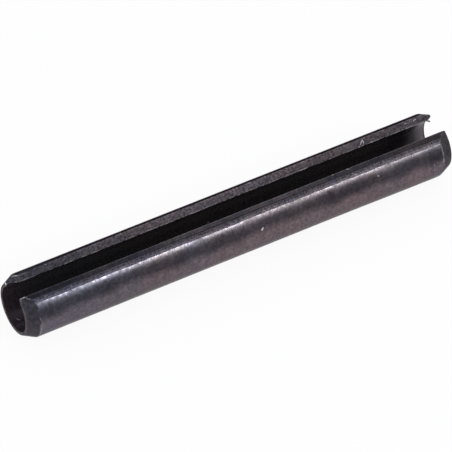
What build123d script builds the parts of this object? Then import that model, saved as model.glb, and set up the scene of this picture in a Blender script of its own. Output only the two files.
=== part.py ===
"""Slotted spring pin: one strip of spring steel, rolled into an open tube with tapered ends.

The pin lies along X with the origin on its axis at mid-length, and with its slot up, as it comes to
rest. Places on the cross-section are given by a radius and an angle in degrees from straight up.
Angles towards the back lip (+Y) are positive, and angles towards the front lip (-Y) are negative.
"""
import os
from math import cos, radians, sin

from build123d import *

# Driving dimensions, in millimetres and degrees
pin_length = 40.0
outer_radius = 2.715        # relaxed, as before the pin is driven into its 5 mm hole
wall = 0.77
slot_angle = 57.4           # opening between the two sheared faces
slot_lean = 2.3             # how far the slot's middle leans back, as the pin lies balanced

# Edges of the strip: the wall left at each face, and the arc over which it thins towards the face
front_face_wall = 0.49
front_ridge_wall = 0.60
front_ridge_arc = 8.4
front_bevel_arc = 19.0
back_face_wall = 0.71
back_bevel_arc = 8.0

# Tapers on the ends: their length, and the wall left at the end face
taper_length = 1.05
rim_wall = 0.28
taper_blend = 0.25          # radius where a taper runs into the shank

# Tear in the back lip's right end: a notch that leaves a thin burr along the bore
tear_depth = 0.27
tear_arc = 18.0
tear_outer_wall = 0.21
burr_thickness = 0.06

# Nick in the left rim, just behind the back lip
nick_depth = 0.20
nick_width = 0.24
nick_behind_face = 6.0

# Worked out from the above
bore_radius = outer_radius - wall
half_length = pin_length / 2
back_face = slot_lean + slot_angle / 2
front_face = slot_lean - slot_angle / 2
back_bevel_end = back_face + back_bevel_arc
front_bevel_end = front_face - front_bevel_arc
clear = wall                # how far a cutter reaches past the metal


def on_section(radius, from_top):
    """Point of the cross-section, in the YZ plane."""
    return (radius * sin(radians(from_top)), radius * cos(radians(from_top)))


def section_arc(radius, start_from_top, end_from_top):
    """Arc round the pin's axis, from one angle to the other."""
    CenterArc((0, 0), radius, 90 - start_from_top, start_from_top - end_from_top)


def half_plane(from_top):
    """Plane through the pin's axis: its x is along the pin, and its y is out at this angle."""
    across, upward = on_section(1, from_top)
    return Plane((0, 0, 0), x_dir=(1, 0, 0), z_dir=(0, -upward, across))


def strip_outline():
    """Rolled strip, from the back lip's face round under the axis to the front lip's face."""
    section_arc(outer_radius, back_bevel_end, 360 + front_bevel_end)
    Polyline(
        on_section(outer_radius, front_bevel_end),
        on_section(bore_radius + front_ridge_wall, front_face - front_ridge_arc),
        on_section(bore_radius + front_face_wall, front_face),
        on_section(bore_radius, front_face),
    )
    section_arc(bore_radius, 360 + front_face, back_face)
    Polyline(
        on_section(bore_radius, back_face),
        on_section(bore_radius + back_face_wall, back_face),
        on_section(outer_radius, back_bevel_end),
    )


def taper_waste(side):
    """Waste outside a taper; side is -1 at the left end and 1 at the right end."""
    end = side * half_length
    start = end - side * taper_length
    rim_radius = bore_radius + rim_wall
    Polyline(
        (start, outer_radius),
        (end, rim_radius),
        (end + side * clear, rim_radius),
        (end + side * clear, outer_radius + clear),
        (start, outer_radius + clear),
        close=True,
    )


def tear_waste():
    """Notch between the outer half of the back lip's end and the burr along the bore."""
    burr_radius = bore_radius + burr_thickness
    Polyline(
        (half_length - tear_depth, burr_radius),
        (half_length + clear, burr_radius),
        (half_length + clear, bore_radius + tear_outer_wall),
        (half_length, bore_radius + tear_outer_wall),
        close=True,
    )


def nick_waste():
    """V cut into the rim, seen along the radius that it follows."""
    Polyline(
        (-half_length + nick_depth, 0),
        (-half_length, nick_width / 2),
        (-half_length - clear, nick_width / 2),
        (-half_length - clear, -nick_width / 2),
        (-half_length, -nick_width / 2),
        close=True,
    )


with BuildPart() as spring_pin:
    # Rolled strip
    with BuildSketch(Plane.YZ):
        with BuildLine():
            strip_outline()
        make_face()
    extrude(amount=half_length, both=True)

    # Tapered ends, blended into the shank
    with BuildSketch(Plane.XZ):
        with BuildLine():
            taper_waste(-1)
        make_face()
        with BuildLine():
            taper_waste(1)
        make_face()
    revolve(axis=Axis.X, mode=Mode.SUBTRACT)
    rims = spring_pin.edges().filter_by(GeomType.CIRCLE).filter_by(
        lambda edge: abs(edge.radius - outer_radius) < taper_blend / 1000
    )
    fillet(rims, radius=taper_blend)

    # Tear in the back lip's right end
    with BuildSketch(half_plane(back_face)):
        with BuildLine():
            tear_waste()
        make_face()
    revolve(axis=Axis.X, revolution_arc=-tear_arc, mode=Mode.SUBTRACT)

    # Nick in the left rim
    nick_plane = half_plane(back_face + nick_behind_face)
    with BuildSketch(Plane((0, 0, 0), x_dir=(1, 0, 0), z_dir=nick_plane.y_dir)):
        with BuildLine():
            nick_waste()
        make_face()
    extrude(amount=outer_radius + clear, mode=Mode.SUBTRACT)

spring_pin.part.label = "spring_pin"

os.makedirs("parts", exist_ok=True)
export_step(spring_pin.part, "parts/spring_pin.step")
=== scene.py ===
"""Slotted spring pin of blackened spring steel: its dressed shell, finishes, floor, lights and camera.

The shell is one block of strip, bent round the pin's axis. A place in the strip has three numbers:
along it (mm from the left end), around it (degrees from the back lip's face, down the back and up
the front), and through it (mm from the bore).
"""

from math import cos, pi, radians, sin

import bpy
import numpy as np
from mathutils import Matrix, Vector


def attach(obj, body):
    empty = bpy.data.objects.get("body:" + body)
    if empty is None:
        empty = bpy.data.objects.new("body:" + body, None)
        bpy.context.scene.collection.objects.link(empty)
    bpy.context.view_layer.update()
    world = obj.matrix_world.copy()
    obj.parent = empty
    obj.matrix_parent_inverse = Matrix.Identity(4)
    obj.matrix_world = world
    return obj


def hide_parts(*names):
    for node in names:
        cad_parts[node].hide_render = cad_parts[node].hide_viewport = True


MM = 0.001

# The pin's own sizes, in millimetres and degrees
LENGTH = 40.0
OUTER_RADIUS = 2.715
WALL = 0.77
BORE_RADIUS = OUTER_RADIUS - WALL
MIDDLE_RADIUS = OUTER_RADIUS - WALL / 2
SLOT_ANGLE = 57.4
SLOT_LEAN = 2.3
BACK_FACE = SLOT_LEAN + SLOT_ANGLE / 2
STRIP_ANGLE = 360 - SLOT_ANGLE
STRIP_WIDTH = radians(STRIP_ANGLE) * MIDDLE_RADIUS

# Front lip: corners of its bevels, as degrees from the sheared face and the wall left there
FRONT_BEVEL = ((0, 0.470), (8.6, 0.610), (10.6, 0.672), (14.8, 0.732), (19.2, WALL))
SMOOTH_BEVEL_END, BEVEL_STEP_END, FRONT_BEVEL_END = (FRONT_BEVEL[corner][0] for corner in (1, 2, -1))
FRONT_LOWER_AT = (0.0, 2.5, 26.0, 28.5, 31.0, 33.6, 36.4)   # mm from the left end, and
FRONT_LOWER = (0.02, 0.0, 0.0, 0.03, 0.03, 0.005, 0.11)     # the share by which the corners lie lower

# Back lip: its bevel in degrees, and its face at the left end, a quarter along it and at the right end
BACK_BEVEL_ARC = 8.0
BACK_FACE_WALL = (0.61, 0.71, 0.71)

# Tapers: length, wall left at each rim, and how softly a taper runs into the shank
TAPER_LENGTH = 1.04
RIM_WALL = (0.236, 0.320)
TAPER_BLEND = 0.025
BACK_RIM_EXTRA = 0.08                # the right taper is ground off-centre: less is off at the back lip
BACK_RIM_ARC = (55.0, 12.0)

# Unevenness, in mm: of the back lip's face, of the front bevels and of the sheared edges on the bore
BACK_LIP_WANDER = 0.015
FRONT_BEVEL_WANDER = 0.05
SHEAR_WANDER = 0.02
SHEAR_REACH = 3.0                    # degrees from the face
WANDER_WAVES = (17.0, 7.3, 3.1, 1.4, 0.7)
WANDER_WEAKEST = 0.3                 # the smallest share that a wave can have, beside a full one
WANDER_SHARE = 2.5                   # what the sum of the waves is divided by

EDGE_ROUND = 0.035                   # every edge, as tumbling leaves it

# Tear at the back lip's right end, with a thin burr along the bore
TEAR_DEPTH = 0.27
TEAR_ARC = 18.0
TEAR_FADE = 2.5                      # degrees over which the tear runs out
TEAR_OUTER_WALL = 0.21
BURR_THICKNESS = 0.06
BURR_REACH = 0.45
BURR_SHORT = 0.135                   # how far its tip lies inside the end plane
BURR_HOOK = 0.25
BURR_CURL = 2.2                      # how late the hook comes in
BURR_SPREAD = 0.40                   # how much less its outer side hooks, so that its tip is thicker
BURR_FADE = 6.0                      # degrees over which the hook runs out

# Nick in the left rim: its middle is in degrees from the back lip's face
NICK_DEPTH = 0.23
NICK_WIDTH = 0.22
NICK_BEHIND_FACE = 3.5
MOVED_REACH = 1.0                    # how far into the ends the grid gives way to the nick and the tear

# Left tips of both lips, bent outward: where the bend starts and is full, from the end and the face
BACK_TIP_BEND = 0.19
BACK_TIP_REACH = (1.25, 0.35)
BACK_TIP_ARC = (8.6, 4.4)
FRONT_TIP_BEND = 0.22
FRONT_TIP_REACH = (0.62, -0.15)
FRONT_TIP_ARC = (13.0, 3.0)

# Front of the belly, a little proud at the right end: where the swell starts and is full
SWELL = 0.045
SWELL_ALONG = (29.0, 37.0)
SWELL_FROM_END = (-1.4, 1.6)
SWELL_ARC = (150.0, 175.0)           # from the back lip's face
SWELL_FROM_FRONT = (40.0, 80.0)      # from the front lip's face

# Grid over the strip, in mm: spacing and reach of the finer rows, coarser rows, and rows beside a corner
FINE_ALONG, END_REACH = 0.08, 1.6
FINE_AROUND, LIP_REACH = 0.07, 1.2
COARSE = 0.17
CORNER_ROWS = (-0.04, -0.02, 0, 0.02, 0.04)
CORNER_CLEAR = 0.055
BURR_ROWS = (BURR_THICKNESS - 0.002, BURR_THICKNESS + 0.004)
TEAR_ROWS = (0.10, 0.14, 0.175)
TEAR_TOP_CLEAR = 0.015
OUTER_ROWS = (0.25, 0.5, 0.75, 0.93)  # as shares of the rest of the wall
FRONT_FREE_AT = 2.2                  # where rows stop straying with the front bevels, in their reaches

# Flat map of the strip, in mm: the gap between its sides, and how much taller its narrow sides are
MAP_GAP = 0.3
MAP_TALL = 3.0

# Reach of the rubbing beside an edge, a corner of the block, a taper's start and a bevel's corner, in mm;
# at corners, taper starts and bevel corners it also stands for a painted glint
EDGE_RUB = 0.06
CORNER_RUB_AND_GLINT = 0.15
TAPER_RUB_AND_HIGHLIGHT = 0.05
BEVEL_RUB_AND_HIGHLIGHT = 0.04
RIM_REACH = 0.2
MOUTH_EDGE = 0.1

# How strongly they are rubbed: the shares spared behind the back lip and on the rims, a taper's start
# and how much more it is over an arc (degrees from the front face), and the corners of the front bevels
# The rubbing at the taper starts and at the corners of the front bevels is partly real rubbing and partly
# a painted highlight
BACK_EDGE_SPARED, RIM_SPARED, BACK_CREASE_SPARED = 0.85, 0.7, 0.8
LEFT_TAPER, LEFT_FLANK, LEFT_BEVELS = 0.4, 0.8, 3.4
LEFT_FLANK_ARC, LEFT_BEVELS_ARC = (38, 46), (21, 16)
RIGHT_TAPER, RIGHT_FLANK, RIGHT_FLANK_ARC = 0.8, 1.0, (30, 44)
STEP_END, BEVEL_END, BEVEL_END_RIGHT = 0.5, 0.5, 1.1
RIGHT_STRETCH = (0.93 * LENGTH, 0.95 * LENGTH)

# Steel under the oxide, where it is rubbed bright and where corners and creases carry a painted glint;
# and the white of a fresh scratch and of a painted glint
BARE_STEEL_AND_GLINT = (0.43, 0.40, 0.42)
FRESH_SCRATCH_AND_GLINT = (0.86, 0.84, 0.87)
SCRATCH_SIDE = (0.35, 0.6)           # where a scratch starts to fade and ends, as a share of its width
SCRATCH_RAGGED = 0.05                # how far its sides stray, in mm
SCRATCH_NOISE = 9000.0

# Tones of the oxide, with painted shade and sheen near the lips: where along the pin, from its middle, or
# how far from a lip each comes in, in mm
COOL_STRETCH, COOL_LEAN = (-16.5, -6.0), (-0.18, 0.09)
ENDS_STRETCH = (2.0, 15.0)
# The band beside the lips is painted shade, the belly a painted sheen of the pale floor and the back lip
# painted shade, each with the oxide's own hue
BAND_SHADE_REACH = (0.95, 1.65)
BELLY_SHEEN_REACH = (2.05, 2.75)
BACK_LIP_SHADE_REACH = (0.45, 1.2)
TONE_STRAYS, TONE_NOISE, TONE_CLOUD = 0.3, 420.0, (0.25, 0.75)
DULL_STRETCHES = ((-19.2, 1.6, 0.6), (9.8, 2.0, 0.6), (19.2, 1.6, 1.0))   # middle, reach, strength
DULL_FADE = 0.2
# At the right mouth the tone before it is painted shade, the tone inside it painted light, and the rim
# darker; the left mouth has a reddish tint
MOUTHS = {                           # which end, and where the tone starts and is full, from that end
    "Left": (-1, 4.0, 0.5), "Before Right": (1, 5.0, 2.4),
    "Right": (1, 1.15, 0.15), "Right Rim": (1, 0.16, 0.11),
}

# Ranges of noise that the tones, the marks, the pits and the rubbed places with their painted glints are
# cut from
TONE_RANGE = (0.36, 0.64)
MOTTLE_RANGE = (0.3, 0.7)
PIT_RANGE = (0.62, 0.74)
WORN_AND_GLINT_RANGE, WORN_AND_GLINT_NOISE = (0.42, 0.66), 1400.0
FINE_MARKS, BROAD_MARKS = (1.0, 0.14, 0.14), (0.24, 0.08, 0.08)   # drawn out round the pin
BROAD_SHARE = 0.42
RELIEF_DEPTH = 0.01                  # in mm
PIT_DEPTH = 0.6                      # as a share of the relief
PIT_ROUGHNESS = 0.15

# Scratches and flecks, and painted glints on the front lip: where each starts and ends in the strip, its
# width in mm and how bright it is
FLANK_SCRATCHES = (
    ((21.50, 255.9, WALL), (21.60, 258.1, WALL), 0.15, 0.55),
    ((32.70, 269.3, WALL), (32.76, 268.5, WALL), 0.11, 0.26),
    ((29.22, 285.0, WALL), (29.46, 283.4, WALL), 0.09, 0.24),
    ((38.00, 248.6, WALL), (38.05, 243.0, WALL), 0.06, 0.24),
    ((38.05, 243.0, WALL), (38.10, 236.0, WALL), 0.06, 0.22),
    ((38.10, 236.0, WALL), (38.12, 230.0, WALL), 0.06, 0.16),
)
FACE_SCRATCHES = (
    ((33.14, 0.0, 0.24), (33.27, 0.0, 0.40), 0.08, 0.34),
    ((33.27, 0.0, 0.40), (33.42, 0.0, 0.50), 0.09, 0.44),
    ((33.42, 0.0, 0.50), (33.48, 0.0, 0.26), 0.08, 0.36),
    ((37.52, 0.0, 0.46), (37.66, 0.0, 0.50), 0.07, 0.34),
    ((37.86, 0.0, 0.42), (38.00, 0.0, 0.44), 0.06, 0.14),
    ((38.40, 0.0, 0.47), (38.58, 0.0, 0.50), 0.09, 0.32),
    ((19.22, 0.0, 0.09), (19.36, 0.0, 0.09), 0.06, 0.22),
    ((22.15, 0.0, 0.10), (22.23, 0.0, 0.10), 0.06, 0.20),
    ((32.95, 0.0, 0.06), (33.03, 0.0, 0.06), 0.07, 0.30),
    ((33.30, 0.0, 0.09), (33.38, 0.0, 0.09), 0.07, 0.30),
    ((34.12, 0.0, 0.08), (34.22, 0.0, 0.08), 0.07, 0.30),
    ((38.05, 0.0, 0.06), (38.13, 0.0, 0.06), 0.07, 0.22),
)
BORE_FLECKS = (
    ((19.02, 85.2, 0.0), (19.06, 86.0, 0.0), 0.12, 0.5),
    ((0.64, 131.0, 0.0), (0.70, 134.0, 0.0), 0.08, 0.42),
    ((0.70, 134.0, 0.0), (0.80, 135.0, 0.0), 0.08, 0.34),
)
BEVEL_BRUISES = (
    ((30.58, 290.2, 0.70), (30.74, 287.8, 0.73), 0.09, 0.34),
    ((30.74, 287.8, 0.73), (30.92, 285.6, 0.75), 0.09, 0.34),
    ((1.90, 289.3, 0.72), (2.10, 289.0, 0.72), 0.09, 0.25),
    ((2.93, 288.5, 0.72), (3.12, 288.3, 0.72), 0.09, 0.25),
    ((4.20, 288.5, 0.72), (4.36, 288.4, 0.72), 0.09, 0.22),
    ((19.42, 288.4, 0.72), (19.56, 288.6, 0.72), 0.08, 0.25),
    ((19.86, 289.2, 0.72), (20.02, 289.0, 0.72), 0.08, 0.25),
    ((33.52, 289.1, 0.72), (33.68, 288.9, 0.72), 0.08, 0.22),
)
# Painted glints on the front lip's tip and edge, each drawn like a scratch in fresh-scratch white
LIP_GLINTS = (
    ((0.08, 302.4, 0.48), (0.14, 302.4, 0.49), 0.15, 1.0),
    ((0.31, 302.4, 0.49), (0.36, 302.4, 0.49), 0.14, 1.0),
    ((0.70, 295.2, 0.59), (0.76, 294.6, 0.60), 0.08, 0.5),
    ((30.42, 302.4, 0.47), (30.58, 300.4, 0.50), 0.10, 0.60),
    ((29.02, 302.4, 0.47), (29.10, 301.6, 0.48), 0.11, 0.45),
)

# Tones that turn the oxide's own colour, partly as painted light: near the lips of the outside, and near
# the mouths of the bore
# Outside: the dark band beside the lips is painted shade, the pale belly a painted sheen of the floor,
# the dark back lip painted shade; the dull stretches only dim
OUTER_TONES_AND_REFLECTIONS = {
    "Band Shade": (0.46, 0.44, 0.48), "Dull": (0.72, 0.72, 0.75),
    "Belly Sheen": (1.32, 1.14, 1.15), "Back Lip": (0.38, 0.34, 0.36),
}
# On the tapers the same: a darker band as painted shade and a lighter belly as painted sheen
TAPER_TONES_AND_REFLECTIONS = {"Band Shade": (0.88, 0.87, 0.87), "Belly Sheen": (1.14, 1.05, 1.02), "Back Lip": (1.0, 1.0, 1.0)}
# In the bore: a reddish tint at the left mouth, painted shade before the right mouth, painted light
# inside it, and darker at its very rim
MOUTH_TONES_AND_LIGHT = {
    "Left": (1.12, 0.88, 0.96), "Before Right": (0.29, 0.26, 0.30),
    "Right": (1.80, 1.65, 1.79), "Right Rim": (0.22, 0.2, 0.22),
}

# What a finish is like where it doesn't say otherwise: how bright it is at the ends, how far the roll
# marks shade it and stand out, how much light it throws back at a glance, and how metallic it is
PLAIN_LOOK = dict(
    ends=1.0, shade=0.12, relief=0.3, edge_tint=1.0, metal=1.0,
    lip_tones_and_reflections=None, mouth_tones_and_light=None, scratches_and_glints=(),
)

# Finishes: two tones, noise scales of their patches and of a fine mottle, the mottle's contrast, range of
# the roughness, noise scales of the roll marks and the pits, and how far the edges and creases are rubbed
# bright, partly as painted glints
FINISHES = {
    "rolled_skin": dict(
        cool=(0.088, 0.090, 0.111), warm=(0.105, 0.092, 0.100), patches=260.0, mottle=4200.0,
        contrast=0.30, rough=(0.18, 0.42), marks=2600.0, grain=5200.0, rub_and_glint=0.5,
        shade=0.16, edge_tint=0.62, lip_tones_and_reflections=OUTER_TONES_AND_REFLECTIONS, scratches_and_glints=FLANK_SCRATCHES,
    ),
    "bore_skin": dict(
        cool=(0.063, 0.060, 0.066), warm=(0.070, 0.061, 0.064), patches=300.0, mottle=2600.0,
        contrast=0.10, rough=(0.22, 0.32), marks=3000.0, grain=5200.0, rub_and_glint=0.5,
        shade=0.06, metal=0.65, mouth_tones_and_light=MOUTH_TONES_AND_LIGHT, scratches_and_glints=BORE_FLECKS,
    ),
    "sheared_face": dict(
        cool=(0.067, 0.065, 0.081), warm=(0.093, 0.077, 0.087), patches=330.0, mottle=5600.0,
        contrast=0.75, rough=(0.36, 0.54), marks=3000.0, grain=3000.0, rub_and_glint=1.6,
        ends=0.74, shade=0.3, scratches_and_glints=FACE_SCRATCHES,
    ),
    "cut_end": dict(
        cool=(0.090, 0.076, 0.084), warm=(0.098, 0.079, 0.087), patches=420.0, mottle=4200.0,
        contrast=0.4, rough=(0.35, 0.5), marks=5000.0, grain=3800.0, rub_and_glint=0.3, edge_tint=0.6,
    ),
    # The nick's far flank: fresh bare steel, painted near-white as a glint
    "nick_flank_glint": dict(
        cool=(0.86, 0.80, 0.83), warm=(0.90, 0.84, 0.87), patches=420.0, mottle=4200.0,
        contrast=0.1, rough=(0.3, 0.4), marks=5000.0, grain=3800.0, rub_and_glint=0.0,
    ),
    "ground_taper": dict(
        cool=(0.048, 0.046, 0.059), warm=(0.055, 0.049, 0.054), patches=380.0, mottle=3600.0,
        contrast=0.35, rough=(0.34, 0.46), marks=5000.0, grain=5200.0, rub_and_glint=0.7, edge_tint=0.62,
        lip_tones_and_reflections=TAPER_TONES_AND_REFLECTIONS, scratches_and_glints=LIP_GLINTS,
    ),
    "smooth_bevel": dict(
        cool=(0.081, 0.079, 0.106), warm=(0.167, 0.147, 0.156), patches=420.0, mottle=4200.0,
        contrast=0.32, rough=(0.20, 0.28), marks=3000.0, grain=5200.0, rub_and_glint=0.12, ends=0.66,
        scratches_and_glints=LIP_GLINTS,
    ),
    # The narrow step between the front bevels, painted very dark as shade
    "bevel_step_shade": dict(
        cool=(0.018, 0.017, 0.024), warm=(0.026, 0.022, 0.026), patches=420.0, mottle=4200.0,
        contrast=0.4, rough=(0.34, 0.5), marks=4000.0, grain=3000.0, rub_and_glint=0.3, ends=1.7,
    ),
    "bruised_bevel": dict(
        cool=(0.117, 0.114, 0.156), warm=(0.160, 0.138, 0.152), patches=620.0, mottle=6800.0,
        contrast=0.72, rough=(0.36, 0.52), marks=4000.0, grain=3000.0, rub_and_glint=0.5, shade=0.25,
        scratches_and_glints=BEVEL_BRUISES,
    ),
    "back_bevel": dict(
        cool=(0.086, 0.088, 0.110), warm=(0.108, 0.094, 0.102), patches=260.0, mottle=4200.0,
        contrast=0.32, rough=(0.26, 0.36), marks=2600.0, grain=5200.0, rub_and_glint=0.3, relief=0.2,
        edge_tint=0.35, lip_tones_and_reflections=OUTER_TONES_AND_REFLECTIONS,
    ),
}
FINISH_NUMBERS = {name: number for number, name in enumerate(FINISHES)}


# Floor, in metres and tones: how far it reaches, its paper, and how much of its own white is seen
FLOOR_REACH = 1.0
PAPER = (0.93, 0.93, 0.93, 1)
PAPER_LIFT = 0.92

# Room: its light, and the ceiling seen in the metal, grey from the first height to the second
WHITE = (1, 1, 1, 1)
ROOM_LIGHT, ROOM_STRENGTH = (0.97, 0.98, 1.0, 1), 0.85
CEILING, CEILING_HEIGHTS = (0.20, 0.20, 0.24, 1), (0.62, 0.90)

# Camera: its place and its aim in millimetres, its roll in degrees, and its lens
EYE, AIM, ROLL = (-139.67, -223.77, 253.73), (-0.308, 0.039, -0.135), 1.634
FOCAL_LENGTH, FILM_WIDTH = 359.1, 36.0
NEAREST_SEEN = 0.01


# ---------------------------------------------------------------- form of the strip

def wander(along, size, seed):
    """Slow unevenness along the strip, between about -size and size."""
    rng = np.random.default_rng(seed)
    total = np.zeros_like(along)
    for wavelength in WANDER_WAVES:
        start, share = rng.uniform(0, 2 * pi), rng.uniform(WANDER_WEAKEST, 1.0)
        total = total + share * np.sin(2 * pi * along / wavelength + start)
    return size * total / WANDER_SHARE


def chord_wall(arc, corners):
    """Wall along straight bevels through corners of (degrees from the face, wall)."""
    wall = np.full_like(arc, WALL)
    for (arc_1, wall_1), (arc_2, wall_2) in zip(corners, corners[1:]):
        radius_1, radius_2 = BORE_RADIUS + wall_1, BORE_RADIUS + wall_2
        here = (arc >= arc_1) & (arc <= arc_2)
        at = np.radians(arc[here] - arc_1)
        span = radians(arc_2 - arc_1)
        reach = radius_1 * np.sin(at) + radius_2 * np.sin(span - at)
        wall[here] = radius_1 * radius_2 * sin(span) / reach - BORE_RADIUS
    return wall


def smooth_least(a, b, blend):
    """The smaller of a and b, rounded where they cross."""
    share = np.clip(0.5 + (b - a) / (2 * blend), 0, 1)
    return b + (a - b) * share - blend * share * (1 - share)


def ease(value, start, end):
    """0 at the start and 1 at the end, with a soft run between them."""
    share = np.clip((value - start) / (end - start), 0, 1)
    return share * share * (3 - 2 * share)


def section_wall(along, around, from_front):
    """Thickness of the strip with its bevels, before the tapers are ground."""
    lip = np.interp(along, (0, LENGTH / 4, LENGTH), BACK_FACE_WALL)
    lip = lip + wander(along, BACK_LIP_WANDER, seed=5)
    back = lip + (WALL - lip) * np.clip(around / BACK_BEVEL_ARC, 0, 1)
    return np.minimum(chord_wall(from_front, FRONT_BEVEL), back)


def tapers(around):
    """Wall left at the rim, and slope of the taper, for the left end and for the right end."""
    extra = (0, BACK_RIM_EXTRA * ease(around, *BACK_RIM_ARC))
    return [(rim + more, (WALL - rim) / TAPER_LENGTH) for rim, more in zip(RIM_WALL, extra)]


def taper_starts(around, section):
    """Distance from the left end and from the right end at which each taper meets the outside."""
    return [(section - rim) / slope for rim, slope in tapers(around)]


def wall_at(along, around, section):
    """Thickness of the strip, with its tapers."""
    left, right = (
        rim + slope * from_end
        for (rim, slope), from_end in zip(tapers(around), (along, LENGTH - along))
    )
    return smooth_least(section, np.minimum(left, right), TAPER_BLEND)


def round_edges(along, around, through, wall):
    """Rounds the block's edges: a point goes to the nearest ball that fits inside them."""
    point = np.stack([along, np.radians(around) * MIDDLE_RADIUS, through])
    size = np.stack([np.full_like(along, LENGTH), np.full_like(along, STRIP_WIDTH), wall])
    inside = np.clip(point, EDGE_ROUND, size - EDGE_ROUND)
    out = point - inside
    out = out * EDGE_ROUND / np.sqrt((out ** 2).sum(axis=0))
    along, around, through = inside + out
    return along, np.degrees(around / MIDDLE_RADIUS), through


def shear_marks(along, around):
    """Unevenness of the two edges on the bore, where the shears broke through."""
    back = np.exp(-around / SHEAR_REACH) * wander(along, SHEAR_WANDER, seed=11)
    front = np.exp((around - STRIP_ANGLE) / SHEAR_REACH) * wander(along, SHEAR_WANDER, seed=12)
    return back + front


def along_burr(along):
    """0 where the burr leaves the wall, and 1 at its tip."""
    return np.clip(1 - (LENGTH - along) / BURR_REACH, 0, 1)


def swell(along, around):
    """How far the front of the belly stands proud."""
    stretch = ease(along, *SWELL_ALONG) * ease(LENGTH - along, *SWELL_FROM_END)
    arc = ease(around, *SWELL_ARC) * ease(STRIP_ANGLE - around, *SWELL_FROM_FRONT)
    return SWELL * stretch * arc


def bend_tips(along, around, through):
    """Bends the left tips of both lips outward, swells the belly and hooks the burr into the bore."""
    back = BACK_TIP_BEND * ease(along, *BACK_TIP_REACH) * ease(around, *BACK_TIP_ARC)
    front = ease(along, *FRONT_TIP_REACH) * ease(STRIP_ANGLE - around, *FRONT_TIP_ARC)
    out = back + swell(along, around) + FRONT_TIP_BEND * front
    on_burr = (through <= BURR_THICKNESS) * np.clip((TEAR_ARC - around) / BURR_FADE, 0, 1)
    spread_tip = 1 - BURR_SPREAD * through / BURR_THICKNESS
    return through + out - BURR_HOOK * along_burr(along) ** BURR_CURL * spread_tip * on_burr


def nick_depth(around):
    """How far the nick cuts into the left end."""
    sideways = np.radians(np.abs(around - NICK_BEHIND_FACE)) * OUTER_RADIUS
    return NICK_DEPTH * np.clip(1 - sideways / (NICK_WIDTH / 2), 0, 1)


def tear_depth(along, around, through):
    """How far the torn right end lies inside the end plane."""
    groove = TEAR_DEPTH * (TEAR_OUTER_WALL - through) / (TEAR_OUTER_WALL - BURR_THICKNESS)
    burr = TEAR_DEPTH + (BURR_SHORT - TEAR_DEPTH) * along_burr(along)
    depth = np.where(through <= BURR_THICKNESS, burr, np.clip(groove, 0, TEAR_DEPTH))
    return depth * np.clip((TEAR_ARC - around) / TEAR_FADE, 0, 1)


def shorten_ends(along, around, through):
    """Moves the points near the ends inside the nick and the tear."""
    left = np.clip(1 - along / MOVED_REACH, 0, 1)
    right = np.clip(1 - (LENGTH - along) / MOVED_REACH, 0, 1)
    return along + left * nick_depth(around) - right * tear_depth(along, around, through)


def in_pin(along, around, through, wall):
    """Points of the pin, in millimetres, for places in the strip."""
    along, around, through = round_edges(along, around, through, wall)
    through = through + shear_marks(along, around) * (1 - through / WALL)
    radius = BORE_RADIUS + bend_tips(along, around, through)
    angle = np.radians(BACK_FACE + around)
    x = shorten_ends(along, around, through) - LENGTH / 2
    return np.stack([x, radius * np.sin(angle), radius * np.cos(angle)], axis=1)


def place_in_pin(along, around, through):
    """One place in the strip as a place in the pin, in metres."""
    angle, radius = radians(BACK_FACE + around), BORE_RADIUS + through
    return Vector((along - LENGTH / 2, radius * sin(angle), radius * cos(angle))) * MM


# ---------------------------------------------------------------- grid over the strip

def edge_rows():
    """Grid rows that follow the rounding of an edge."""
    return [0, EDGE_ROUND * (1 - np.tan(pi / 8)), EDGE_ROUND]


def grid_rows(size, corners, fine, fine_reach):
    """Grid rows over a size: fine near both ends, and with close rows beside each corner."""
    near = edge_rows() + list(np.arange(EDGE_ROUND + fine, fine_reach - fine / 2, fine))
    count = round((size - 2 * fine_reach) / COARSE) + 1
    middle = list(np.linspace(fine_reach, size - fine_reach, count))
    rows = near + middle + [size - row for row in reversed(near)]
    clear = [row for row in rows if min(abs(row - corner) for corner in corners) > CORNER_CLEAR]
    beside = [corner + step for corner in corners for step in CORNER_ROWS]
    return np.array(sorted(clear + beside))


def follow_front(along, around):
    """Lets the grid stray with the corners of the front bevels, and less and less beyond them."""
    from_front, last = STRIP_ANGLE - around, FRONT_BEVEL_END
    free = FRONT_FREE_AT * last
    share = np.clip((free - from_front) / (free - last), 0, 1)
    lower = np.interp(along, FRONT_LOWER_AT, FRONT_LOWER) + wander(along, FRONT_BEVEL_WANDER, seed=3)
    return around - np.minimum(from_front, last) * lower * share


def follow_taper(from_end, start):
    """Lets the grid keep one row on the line where a taper meets the outside."""
    free = 3 * EDGE_ROUND
    inner = free + (from_end - free) * (start - free) / (TAPER_LENGTH - free)
    outer = start + (from_end - TAPER_LENGTH) * (END_REACH - start) / (END_REACH - TAPER_LENGTH)
    moved = np.where(from_end < TAPER_LENGTH, inner, outer)
    return np.where((from_end < free) | (from_end > END_REACH), from_end, moved)


def through_rows(wall):
    """Grid rows through a wall. They follow the edges, the burr and the tear."""
    tear_top = np.minimum(TEAR_OUTER_WALL, wall - EDGE_ROUND - TEAR_TOP_CLEAR)
    rest = wall - EDGE_ROUND - tear_top
    inner = [*edge_rows(), *BURR_ROWS, *TEAR_ROWS, tear_top]
    outer = [tear_top + share * rest for share in OUTER_ROWS]
    rows = inner + outer + [wall - row for row in reversed(edge_rows())]
    return np.stack([np.broadcast_to(row, wall.shape) for row in rows])


def block_side(numbers, axis, last):
    """Quads over one side of the block, wound to face outward."""
    grid = np.moveaxis(numbers, axis, 0)[-1 if last else 0]
    if axis == 1:
        grid = grid.T
    quads = np.stack([grid[:-1, :-1], grid[1:, :-1], grid[1:, 1:], grid[:-1, 1:]], axis=-1)
    quads = quads.reshape(-1, 4)
    return quads if last else quads[:, ::-1]


def nearness(distance, reach):
    """1 on an edge, falling to 0 beyond its reach."""
    return np.exp(-(distance / reach) ** 2)


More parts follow.
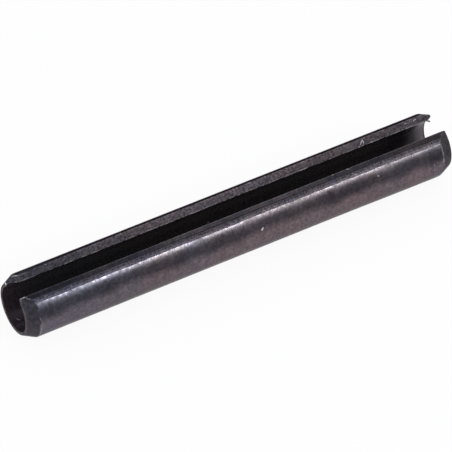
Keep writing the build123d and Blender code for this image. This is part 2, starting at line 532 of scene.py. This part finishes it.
def edge_rub_and_corner_glint(place):
    """How near each point lies to a rubbed edge: more at a corner, where it is also a painted glint, and
    less behind the back lip.
    """
    along, around, through, wall = place["along"], place["around"], place["through"], place["wall"]
    arc = np.radians(np.minimum(around, STRIP_ANGLE - around)) * MIDDLE_RADIUS
    to_sides = np.stack([np.minimum(along, LENGTH - along), arc, np.minimum(through, wall - through)])
    _, to_edge, to_corner = np.sort(to_sides, axis=0)
    behind = (around < BACK_BEVEL_ARC) * (through > wall / 2) * (along > TAPER_LENGTH)
    in_mouth = (LENGTH - along < RIM_REACH) * (through < MOUTH_EDGE) * (around > TEAR_ARC)
    on_rim = (np.minimum(along, LENGTH - along) < RIM_REACH) * (through > wall / 2)
    edge_rub_and_glint = nearness(to_edge, EDGE_RUB) * (1 + nearness(to_corner, CORNER_RUB_AND_GLINT))
    return edge_rub_and_glint * (1 - BACK_EDGE_SPARED * behind) * (1 - in_mouth) * (1 - RIM_SPARED * on_rim)


def taper_rub_and_highlight(place, from_front):
    """How near each point lies to a taper's start, rubbed and lit by a painted highlight: more on the
    flank, and most at the left bevels.
    """
    left_rub_and_highlight = LEFT_TAPER + LEFT_FLANK * ease(from_front, *LEFT_FLANK_ARC)
    left_rub_and_highlight = left_rub_and_highlight + LEFT_BEVELS * ease(from_front, *LEFT_BEVELS_ARC)
    right_rub_and_highlight = RIGHT_TAPER + RIGHT_FLANK * ease(from_front, *RIGHT_FLANK_ARC)
    left = nearness(place["along"] - place["left_start"], TAPER_RUB_AND_HIGHLIGHT) * left_rub_and_highlight
    right = nearness(LENGTH - place["along"] - place["right_start"], TAPER_RUB_AND_HIGHLIGHT) * right_rub_and_highlight
    return np.maximum(left, right)


def bevel_rub_and_highlight(place, from_front):
    """How near each point lies to the step's end or to the end of the front bevels, rubbed and lit by a
    painted highlight.
    """
    step, corner = (
        nearness(np.radians(from_front - end) * OUTER_RADIUS, BEVEL_RUB_AND_HIGHLIGHT)
        for end in (BEVEL_STEP_END, FRONT_BEVEL_END)
    )
    corner_rub_and_highlight = BEVEL_END + BEVEL_END_RIGHT * ease(place["along"], *RIGHT_STRETCH)
    return np.maximum(step * STEP_END, corner * corner_rub_and_highlight) * ~place["on_taper"]


def crease_rub_and_highlight(place):
    """How near each point of the outside lies to a crease that is rubbed and lit by a painted highlight:
    less behind the back lip.
    """
    from_front = STRIP_ANGLE - place["flat_around"]
    near = np.maximum(taper_rub_and_highlight(place, from_front), bevel_rub_and_highlight(place, from_front))
    behind = place["around"] < 3 * BACK_BEVEL_ARC
    return near * (1 - BACK_CREASE_SPARED * behind) * (place["through"] > place["wall"] - EDGE_ROUND)


def from_lip(place):
    """Distance round the outside from the nearer sheared face, in millimetres."""
    return np.radians(np.minimum(place["around"], STRIP_ANGLE - place["around"])) * OUTER_RADIUS


def from_back_lip(place):
    """Distance round the outside from the back lip's face, in millimetres."""
    return np.radians(place["around"]) * OUTER_RADIUS


def side_map(axis, last, along, around, through):
    """Where a side's points lie on the flat map: as cut from strip, in millimetres."""
    width = np.radians(around)
    if axis == 2 and last:
        return along, MAP_GAP + width * OUTER_RADIUS
    if axis == 2:
        return along, 2 * MAP_GAP + radians(STRIP_ANGLE) * OUTER_RADIUS + width * BORE_RADIUS
    base = 3 * MAP_GAP + radians(STRIP_ANGLE) * (OUTER_RADIUS + BORE_RADIUS)
    if axis == 1:
        return along, base + MAP_TALL * through + last * (MAP_GAP + MAP_TALL * WALL)
    base = base + 2 * (MAP_GAP + MAP_TALL * WALL)
    return width * MIDDLE_RADIUS + last * (MAP_GAP + STRIP_WIDTH), base + MAP_TALL * through


def rows_on_strip():
    """Grid rows along the strip in millimetres, and around it in degrees."""
    along = grid_rows(LENGTH, (TAPER_LENGTH, LENGTH - TAPER_LENGTH), FINE_ALONG, END_REACH)
    arcs = [STRIP_ANGLE - arc for arc, _ in FRONT_BEVEL[1:]] + [NICK_BEHIND_FACE, BACK_BEVEL_ARC]
    corners = [radians(arc) * MIDDLE_RADIUS for arc in arcs]
    return along, np.degrees(grid_rows(STRIP_WIDTH, corners, FINE_AROUND, LIP_REACH) / MIDDLE_RADIUS)


def number_skin(shape):
    """Numbers for the grid points on the block's skin, with -1 inside it."""
    on_skin = np.ones(shape, bool)
    on_skin[1:-1, 1:-1, 1:-1] = False
    numbers = np.full(shape, -1)
    numbers[on_skin] = np.arange(on_skin.sum())
    return numbers


def lay_grid():
    """The block's surface points: their grid numbers, and each measure of their places."""
    rows_along, rows_around = rows_on_strip()
    count = len(through_rows(np.array([WALL])))
    numbers = number_skin((len(rows_along), len(rows_around), count))
    i, j, k = np.nonzero(numbers >= 0)

    along, flat_around = rows_along[i], rows_around[j]
    section = section_wall(along, flat_around, STRIP_ANGLE - flat_around)
    left_start, right_start = taper_starts(flat_around, section)
    along = follow_taper(along, left_start)
    along = LENGTH - follow_taper(LENGTH - along, right_start)
    wall = wall_at(along, flat_around, section)
    place = {
        "along": along, "around": follow_front(along, flat_around), "flat_around": flat_around,
        "through": through_rows(wall)[k, np.arange(len(k))], "wall": wall,
        "left_start": left_start, "right_start": right_start,
        "on_taper": (rows_along[i] < TAPER_LENGTH) | (rows_along[i] > LENGTH - TAPER_LENGTH),
    }
    return numbers, place


def side_finish(axis, last, side, place):
    """The finish of each quad on one side of the block."""
    finish = np.full(len(side), FINISH_NUMBERS[("cut_end", "sheared_face", "bore_skin")[axis]])
    around = place["flat_around"][side].mean(axis=1)
    from_front = STRIP_ANGLE - around
    if axis == 0 and not last:
        finish[(nick_depth(around) > 0) & (around > NICK_BEHIND_FACE)] = FINISH_NUMBERS["nick_flank_glint"]
    if axis == 2 and last:
        finish[:] = FINISH_NUMBERS["rolled_skin"]
        finish[from_front < FRONT_BEVEL_END] = FINISH_NUMBERS["bruised_bevel"]
        finish[from_front < BEVEL_STEP_END] = FINISH_NUMBERS["bevel_step_shade"]
        finish[from_front < SMOOTH_BEVEL_END] = FINISH_NUMBERS["smooth_bevel"]
        finish[around < BACK_BEVEL_ARC] = FINISH_NUMBERS["back_bevel"]
        finish[place["on_taper"][side].any(axis=1)] = FINISH_NUMBERS["ground_taper"]
    return finish


def lay_sides(numbers, place):
    """The block's six sides: their quads, the finish of each quad, and its corners on the flat map."""
    quads, finishes, corners = [], [], []
    for axis in range(3):
        for last in (False, True):
            side = block_side(numbers, axis, last)
            where = (place[name][side] for name in ("along", "around", "through"))
            quads.append(side)
            finishes.append(side_finish(axis, last, side, place))
            corners.append(np.stack(side_map(axis, last, *where), axis=-1).reshape(-1, 2))
    return np.concatenate(quads), np.concatenate(finishes).astype(np.int32), np.concatenate(corners)


def build_shell():
    """The pin's shell, as one closed mesh with a finish for each kind of side."""
    numbers, place = lay_grid()
    quads, finishes, corners = lay_sides(numbers, place)
    mesh = bpy.data.meshes.new("spring_pin_shell")
    points = in_pin(place["along"], place["around"], place["through"], place["wall"]) * MM
    mesh.from_pydata(points.tolist(), [], quads.tolist())
    flat_map = mesh.uv_layers.new(name="OFBake")
    flat_map.uv.foreach_set("vector", (corners / (LENGTH + 1)).astype(np.float32).ravel())
    mesh.polygons.foreach_set("material_index", finishes)
    mesh.polygons.foreach_set("use_smooth", finishes != FINISH_NUMBERS["nick_flank_glint"])
    # The edge and crease measures are rubbing, and at corners and creases also painted glints and
    # highlights
    masks = {
        "edge": edge_rub_and_corner_glint, "crease": crease_rub_and_highlight,
        "from_lip": from_lip, "from_back_lip": from_back_lip,
    }
    for name, measure in masks.items():
        values = measure(place).astype(np.float32)
        mesh.attributes.new(name, "FLOAT", "POINT").data.foreach_set("value", values)
    mesh.validate()
    shell = bpy.data.objects.new("spring_pin_shell", mesh)
    bpy.context.scene.collection.objects.link(shell)
    return shell


# ---------------------------------------------------------------- finishes

def add(tree, kind, inputs=None, **settings):
    """A node of this kind, with its settings and its input values or links, by name or by place."""
    node = tree.nodes.new("ShaderNode" + kind)
    for name, value in settings.items():
        setattr(node, name, value)
    for name, value in (inputs or {}).items():
        if isinstance(value, bpy.types.NodeSocket):
            tree.links.new(value, node.inputs[name])
        else:
            node.inputs[name].default_value = value
    return node


def new_group(name, inputs, outputs):
    """A shader node group with these sockets: (tree, its inputs, its output node)."""
    tree = bpy.data.node_groups.new(name, "ShaderNodeTree")
    for way, sockets in (("INPUT", inputs), ("OUTPUT", outputs)):
        for label, kind in sockets.items():
            tree.interface.new_socket(name=label, in_out=way, socket_type="NodeSocket" + kind)
    return tree, tree.nodes.new("NodeGroupInput").outputs, tree.nodes.new("NodeGroupOutput")


def use(tree, group, inputs):
    """Places a group in a tree, and returns its outputs."""
    return add(tree, "Group", inputs, node_tree=group).outputs


def noise(tree, vector, scale, detail=4, roughness=0.6):
    """A noise value over a vector."""
    return add(tree, "TexNoise", {
        "Vector": vector, "Scale": scale, "Detail": detail, "Roughness": roughness,
    }).outputs["Fac"]


def spread(tree, value, low, high, to_low=0.0, to_high=1.0):
    """Stretches a value from one range to another, and stops at its ends."""
    return add(tree, "MapRange", {
        "Value": value, "From Min": low, "From Max": high, "To Min": to_low, "To Max": to_high,
    }).outputs["Result"]


def maths(tree, operation, a, b):
    """One sum of two values."""
    return add(tree, "Math", {0: a, 1: b}, operation=operation).outputs[0]


def mix_value(tree, factor, a, b):
    """Two values mixed by a factor."""
    return add(tree, "Mix", {"Factor": factor, "A": a, "B": b}, data_type="FLOAT").outputs["Result"]


def mix_colour(tree, factor, a, b, blend="MIX"):
    """Two colours mixed by a factor."""
    node = add(tree, "Mix", {0: factor, 6: a, 7: b}, data_type="RGBA", blend_type=blend)
    return node.outputs[2]


def grey(tree, value):
    """A value as a grey."""
    return add(tree, "CombineColor", {"Red": value, "Green": value, "Blue": value}).outputs[0]


def vector_maths(tree, operation, a, b, output=0):
    """One sum of two vectors."""
    return add(tree, "VectorMath", {0: a, 1: b}, operation=operation).outputs[output]


def scaled(tree, vector, factor):
    """A vector scaled by one factor."""
    return add(tree, "VectorMath", {0: vector, "Scale": factor}, operation="SCALE").outputs[0]


def along_pin(tree, vector):
    """A place's distance from the middle of the pin."""
    return add(tree, "SeparateXYZ", {"Vector": vector}).outputs["X"]


def dull_stretches(tree, x):
    """Mask of the stretches of the pin where the light beside the front lip is duller."""
    dull = 0.0
    for middle, reach, strength in DULL_STRETCHES:
        away = maths(tree, "ABSOLUTE", maths(tree, "SUBTRACT", x, middle * MM), 0.0)
        near = spread(tree, away, (reach - DULL_FADE) * MM, reach * MM, strength, 0.0)
        dull = maths(tree, "MAXIMUM", dull, near)
    return dull


def lip_tone_and_reflection_group():
    """Where the oxide's tone turns, with painted light: a band of painted shade by the lips, a painted
    sheen on the belly, painted shade on the back lip, and the dull stretches.
    """
    tree, given, out = new_group(
        "lip_tone_and_reflection", {"Vector": "Vector", "From Lip": "Float", "From Back Lip": "Float"},
        {"Band Shade": "Float", "Belly Sheen": "Float", "Back Lip": "Float", "Dull": "Float"},
    )
    cloud = noise(tree, given["Vector"], TONE_NOISE)
    uneven = spread(tree, cloud, *TONE_CLOUD, -TONE_STRAYS, TONE_STRAYS)
    place = maths(tree, "ADD", given["From Lip"], uneven)
    behind = maths(tree, "ADD", given["From Back Lip"], uneven)
    tree.links.new(spread(tree, place, *BAND_SHADE_REACH), out.inputs["Band Shade"])
    tree.links.new(spread(tree, place, *BELLY_SHEEN_REACH), out.inputs["Belly Sheen"])
    tree.links.new(spread(tree, behind, *BACK_LIP_SHADE_REACH, 1.0, 0.0), out.inputs["Back Lip"])
    tree.links.new(dull_stretches(tree, along_pin(tree, given["Vector"])), out.inputs["Dull"])
    return tree


def mouth_tone_and_light_group():
    """Nearness to the left and right mouths of the bore, where the right one gets painted light, and the
    stretch before the right mouth, which gets painted shade.
    """
    tree, given, out = new_group("mouth_tone_and_light", {"Vector": "Vector"}, {name: "Float" for name in MOUTHS})
    x = along_pin(tree, given["Vector"])
    for name, (end, start, full) in MOUTHS.items():
        reach = (end * (LENGTH / 2 - from_end) * MM for from_end in (start, full))
        tree.links.new(spread(tree, x, *reach), out.inputs[name])
    return tree


def scratch_and_glint_group():
    """A short bright scratch, a fleck or a painted glint, from one place to another."""
    tree, given, out = new_group(
        "scratch", {"Vector": "Vector", "Start": "Vector", "Reach": "Vector", "Width": "Float"},
        {"Mask": "Float"},
    )
    away = vector_maths(tree, "SUBTRACT", given["Vector"], given["Start"])
    onto = vector_maths(tree, "DOT_PRODUCT", away, given["Reach"], "Value")
    full = vector_maths(tree, "DOT_PRODUCT", given["Reach"], given["Reach"], "Value")
    nearest = scaled(tree, given["Reach"], spread(tree, maths(tree, "DIVIDE", onto, full), 0.0, 1.0))
    gap = vector_maths(tree, "DISTANCE", away, nearest, "Value")
    sideways = maths(tree, "DIVIDE", gap, given["Width"])
    tree.links.new(spread(tree, sideways, *SCRATCH_SIDE, 1.0, 0.0), out.inputs["Mask"])
    return tree


def oxide_group():
    """Tint of black oxide: cool towards the left end and warm beyond, in patches with a fine mottle."""
    tree, given, out = new_group(
        "oxide_tint",
        {
            "Vector": "Vector", "Cool": "Color", "Warm": "Color",
            "Patches": "Float", "Mottle": "Float", "Contrast": "Float", "Ends": "Float",
        },
        {"Color": "Color"},
    )
    x = along_pin(tree, given["Vector"])
    lean = spread(tree, x, *(at * MM for at in COOL_STRETCH), *COOL_LEAN)
    patches = maths(tree, "ADD", noise(tree, given["Vector"], given["Patches"]), lean)
    tone = mix_colour(tree, spread(tree, patches, *TONE_RANGE), given["Cool"], given["Warm"])
    mottle = noise(tree, given["Vector"], given["Mottle"], detail=3)
    mottle = maths(tree, "MULTIPLY", spread(tree, mottle, *MOTTLE_RANGE, -1.0, 1.0), given["Contrast"])
    outward = spread(tree, maths(tree, "ABSOLUTE", x, 0.0), *(at * MM for at in ENDS_STRETCH))
    ends = spread(tree, outward, 0.0, 1.0, 1.0, given["Ends"])
    shade = maths(tree, "MULTIPLY", maths(tree, "ADD", mottle, 1.0), ends)
    tree.links.new(mix_colour(tree, 1.0, tone, grey(tree, shade), "MULTIPLY"), out.inputs["Color"])
    return tree


def roll_mark_group():
    """Fine marks that run round the pin, left by the rolls."""
    tree, given, out = new_group(
        "roll_marks", {"Vector": "Vector", "Density": "Float"}, {"Value": "Float"}
    )
    fine = vector_maths(tree, "MULTIPLY", given["Vector"], FINE_MARKS)
    broad = vector_maths(tree, "MULTIPLY", given["Vector"], BROAD_MARKS)
    fine = noise(tree, fine, given["Density"], detail=5, roughness=0.7)
    broad = noise(tree, broad, given["Density"], detail=3)
    tree.links.new(mix_value(tree, BROAD_SHARE, fine, broad), out.inputs["Value"])
    return tree


def pit_group():
    """Small pits in the oxide."""
    tree, given, out = new_group(
        "oxide_pits", {"Vector": "Vector", "Density": "Float"}, {"Mask": "Float"}
    )
    spots = noise(tree, given["Vector"], given["Density"], detail=2, roughness=0.5)
    tree.links.new(spread(tree, spots, *PIT_RANGE), out.inputs["Mask"])
    return tree


def rub_and_glint_group():
    """Where an edge or a crease is rubbed bright, partly as a painted glint: its nearness, broken up by
    noise.
    """
    tree, given, out = new_group(
        "worn_edge_and_glint", {"Vector": "Vector", "Nearness": "Float", "Breakup": "Float"}, {"Mask": "Float"}
    )
    broken = spread(tree, noise(tree, given["Vector"], given["Breakup"]), *WORN_AND_GLINT_RANGE)
    tree.links.new(maths(tree, "MULTIPLY", broken, given["Nearness"]), out.inputs["Mask"])
    return tree


def measured(tree, name):
    """One of the shell's own measures."""
    return add(tree, "Attribute", attribute_name=name).outputs["Fac"]


def ragged_place(tree, place):
    """A place that strays a little, so that a scratch has ragged sides."""
    cloud = add(tree, "TexNoise", {"Vector": place, "Scale": SCRATCH_NOISE, "Detail": 2.0})
    stray = vector_maths(tree, "SUBTRACT", cloud.outputs["Color"], (0.5, 0.5, 0.5))
    return vector_maths(tree, "ADD", place, scaled(tree, stray, 2 * SCRATCH_RAGGED * MM))


def scratched_and_glinting(tree, place, group, scratches_and_glints):
    """Mask of a finish's own scratch marks and painted glints: each one's start and end in the strip,
    width and brightness.
    """
    place = ragged_place(tree, place)
    total = 0.0
    for start, end, width, bright in scratches_and_glints:
        start, end = place_in_pin(*start), place_in_pin(*end)
        mask = use(tree, group, {
            "Vector": place, "Start": start, "Reach": end - start, "Width": width * MM,
        })["Mask"]
        total = maths(tree, "MAXIMUM", total, maths(tree, "MULTIPLY", mask, bright))
    return total


def tint_turned_and_lit(tree, tint, masks, tones):
    """A tint turned by the tones and the painted shade, sheen and light that masks bring in, one over
    another. A dull tone only dims.
    """
    turned = (1, 1, 1, 1)
    for name, tone in tones.items():
        blend = "MULTIPLY" if name == "Dull" else "MIX"
        turned = mix_colour(tree, masks[name], turned, (*tone, 1), blend)
    return mix_colour(tree, 1.0, tint, turned, "MULTIPLY")


def oxide_colour(tree, groups, place, look, streaks):
    """Colour of the oxide, turned near the lips and the mouths, partly by painted shade, sheen and light,
    and shaded by the roll marks.
    """
    tint = use(tree, groups["oxide"], {
        "Vector": place, "Cool": (*look["cool"], 1), "Warm": (*look["warm"], 1),
        "Patches": look["patches"], "Mottle": look["mottle"],
        "Contrast": look["contrast"], "Ends": look["ends"],
    })["Color"]
    if look["lip_tones_and_reflections"]:
        masks = use(tree, groups["lip_tone_and_reflection"], {
            "Vector": place,
            "From Lip": measured(tree, "from_lip"), "From Back Lip": measured(tree, "from_back_lip"),
        })
        tint = tint_turned_and_lit(tree, tint, masks, look["lip_tones_and_reflections"])
    if look["mouth_tones_and_light"]:
        masks = use(tree, groups["mouth_tone_and_light"], {"Vector": place})
        tint = tint_turned_and_lit(tree, tint, masks, look["mouth_tones_and_light"])
    shading = spread(tree, streaks, *TONE_RANGE, 1 - look["shade"], 1 + look["shade"])
    return mix_colour(tree, 1.0, tint, grey(tree, shading), "MULTIPLY")


def worn_and_glinting_colour(tree, groups, place, look, tint):
    """Colour of the oxide with its edges and creases rubbed bright, partly as painted glints and
    highlights, and with its scratch marks and painted glints.
    """
    nearest = maths(tree, "MAXIMUM", measured(tree, "edge"), measured(tree, "crease"))
    worn_and_glinting = use(tree, groups["worn_and_glinting"], {"Vector": place, "Nearness": nearest, "Breakup": WORN_AND_GLINT_NOISE})
    rubbed_and_glinting = maths(tree, "MULTIPLY", worn_and_glinting["Mask"], look["rub_and_glint"])
    colour = mix_colour(tree, rubbed_and_glinting, tint, (*BARE_STEEL_AND_GLINT, 1))
    if look["scratches_and_glints"]:
        mask = scratched_and_glinting(tree, place, groups["scratch"], look["scratches_and_glints"])
        colour = mix_colour(tree, mask, colour, (*FRESH_SCRATCH_AND_GLINT, 1))
    return colour


def steel_finish(name, groups, **own_look):
    """One finish of the blackened steel, with its own tones and painted light, roughness, marks, rubbing
    and painted glints.
    """
    look = {**PLAIN_LOOK, **own_look}
    material = bpy.data.materials.new(name)
    material.use_nodes = True
    tree = material.node_tree
    shader = tree.nodes["Principled BSDF"]
    place = add(tree, "TexCoord").outputs["Object"]
    streaks = use(tree, groups["roll_marks"], {"Vector": place, "Density": look["marks"]})["Value"]
    pitted = use(tree, groups["pits"], {"Vector": place, "Density": look["grain"]})["Mask"]
    tint = oxide_colour(tree, groups, place, look, streaks)
    colour = worn_and_glinting_colour(tree, groups, place, look, tint)

    roughness = spread(tree, streaks, *TONE_RANGE, *look["rough"])
    roughness = maths(tree, "ADD", roughness, maths(tree, "MULTIPLY", pitted, PIT_ROUGHNESS))
    height = maths(tree, "SUBTRACT", streaks, maths(tree, "MULTIPLY", pitted, PIT_DEPTH))
    bump = add(tree, "Bump", {
        "Height": height, "Strength": look["relief"], "Distance": RELIEF_DEPTH * MM,
    })
    tree.links.new(colour, shader.inputs["Base Color"])
    tree.links.new(roughness, shader.inputs["Roughness"])
    tree.links.new(bump.outputs["Normal"], shader.inputs["Normal"])
    shader.inputs["Metallic"].default_value = look["metal"]
    shader.inputs["Specular Tint"].default_value = (*[look["edge_tint"]] * 3, 1)
    return material


def finish_shell(shell):
    """Gives each kind of side its finish."""
    groups = {
        "oxide": oxide_group(), "lip_tone_and_reflection": lip_tone_and_reflection_group(), "mouth_tone_and_light": mouth_tone_and_light_group(),
        "roll_marks": roll_mark_group(), "pits": pit_group(), "worn_and_glinting": rub_and_glint_group(),
        "scratch": scratch_and_glint_group(),
    }
    for name, look in FINISHES.items():
        shell.data.materials.append(steel_finish(name, groups, **look))


# ---------------------------------------------------------------- floor, light and camera

def seen_directly(tree):
    """1 where the camera sees a surface, also in the metal or through glass, and 0 for its light."""
    path = add(tree, "LightPath").outputs
    seen = maths(tree, "MAXIMUM", path["Is Camera Ray"], path["Is Glossy Ray"])
    return maths(tree, "MAXIMUM", seen, path["Is Transmission Ray"])


def lay_floor():
    """A pale sheet under the pin, which keeps its shadow."""
    mesh = bpy.data.meshes.new("floor")
    corners = [
        (x * FLOOR_REACH, y * FLOOR_REACH, -OUTER_RADIUS * MM)
        for x, y in ((-1, -1), (1, -1), (1, 1), (-1, 1))
    ]
    mesh.from_pydata(corners, [], [(0, 1, 2, 3)])
    floor = bpy.data.objects.new("floor", mesh)
    bpy.context.scene.collection.objects.link(floor)
    material = bpy.data.materials.new("pale_floor")
    material.use_nodes = True
    tree = material.node_tree
    tree.nodes.clear()
    paper = add(tree, "BsdfDiffuse", {"Color": PAPER}).outputs[0]
    white = add(tree, "Emission", {"Color": WHITE, "Strength": 1.0}).outputs[0]
    lift = maths(tree, "MULTIPLY", seen_directly(tree), PAPER_LIFT)
    mixed = add(tree, "MixShader", {0: lift, 1: paper, 2: white}).outputs[0]
    add(tree, "OutputMaterial", {"Surface": mixed})
    mesh.materials.append(material)


def light_world():
    """A bright room, white all round where the camera sees it, and grey straight overhead."""
    world = bpy.data.worlds.new("room")
    world.use_nodes = True
    tree = world.node_tree
    tree.nodes.clear()
    up = add(tree, "SeparateXYZ", {"Vector": add(tree, "TexCoord").outputs["Generated"]}).outputs["Z"]
    ceiling = mix_colour(tree, spread(tree, up, *CEILING_HEIGHTS), WHITE, CEILING)
    room = add(tree, "Background", {"Color": ROOM_LIGHT, "Strength": ROOM_STRENGTH}).outputs[0]
    white = add(tree, "Background", {"Color": ceiling, "Strength": 1.0}).outputs[0]
    mixed = add(tree, "MixShader", {0: seen_directly(tree), 1: room, 2: white}).outputs[0]
    add(tree, "OutputWorld", {"Surface": mixed})
    bpy.context.scene.world = world


def hang_light(name, place, size, power):
    """A soft box that faces the pin from a place in millimetres."""
    data = bpy.data.lights.new(name, "AREA")
    data.shape = "RECTANGLE"
    data.size, data.size_y = size[0] * MM, size[1] * MM
    data.energy = power
    light = bpy.data.objects.new(name, data)
    light.location = Vector(place) * MM
    light.rotation_euler = Vector(place).to_track_quat("Z", "Y").to_euler()
    bpy.context.scene.collection.objects.link(light)


def place_camera():
    """A long lens, from the front left and above."""
    eye, aim = Vector(EYE), Vector(AIM)
    data = bpy.data.cameras.new("camera")
    data.sensor_width, data.lens, data.clip_start = FILM_WIDTH, FOCAL_LENGTH, NEAREST_SEEN
    camera = bpy.data.objects.new("camera", data)
    camera.matrix_world = (
        Matrix.Translation(eye * MM)
        @ (eye - aim).to_track_quat("Z", "Y").to_matrix().to_4x4()
        @ Matrix.Rotation(radians(ROLL), 4, "Z")
    )
    bpy.context.scene.collection.objects.link(camera)
    bpy.context.scene.camera = camera


# ---------------------------------------------------------------- scene

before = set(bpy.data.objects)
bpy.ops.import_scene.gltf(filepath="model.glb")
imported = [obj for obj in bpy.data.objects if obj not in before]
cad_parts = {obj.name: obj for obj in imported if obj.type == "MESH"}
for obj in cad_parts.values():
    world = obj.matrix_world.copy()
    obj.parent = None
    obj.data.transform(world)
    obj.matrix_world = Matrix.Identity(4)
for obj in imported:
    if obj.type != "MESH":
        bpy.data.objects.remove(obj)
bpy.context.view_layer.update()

shell = build_shell()
finish_shell(shell)
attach(shell, "root")
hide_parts("spring_pin")

lay_floor()
light_world()
hang_light("key", place=(205, -430, 343), size=(72, 72), power=0.76)
place_camera()
bpy.context.scene.view_settings.view_transform = "Standard"
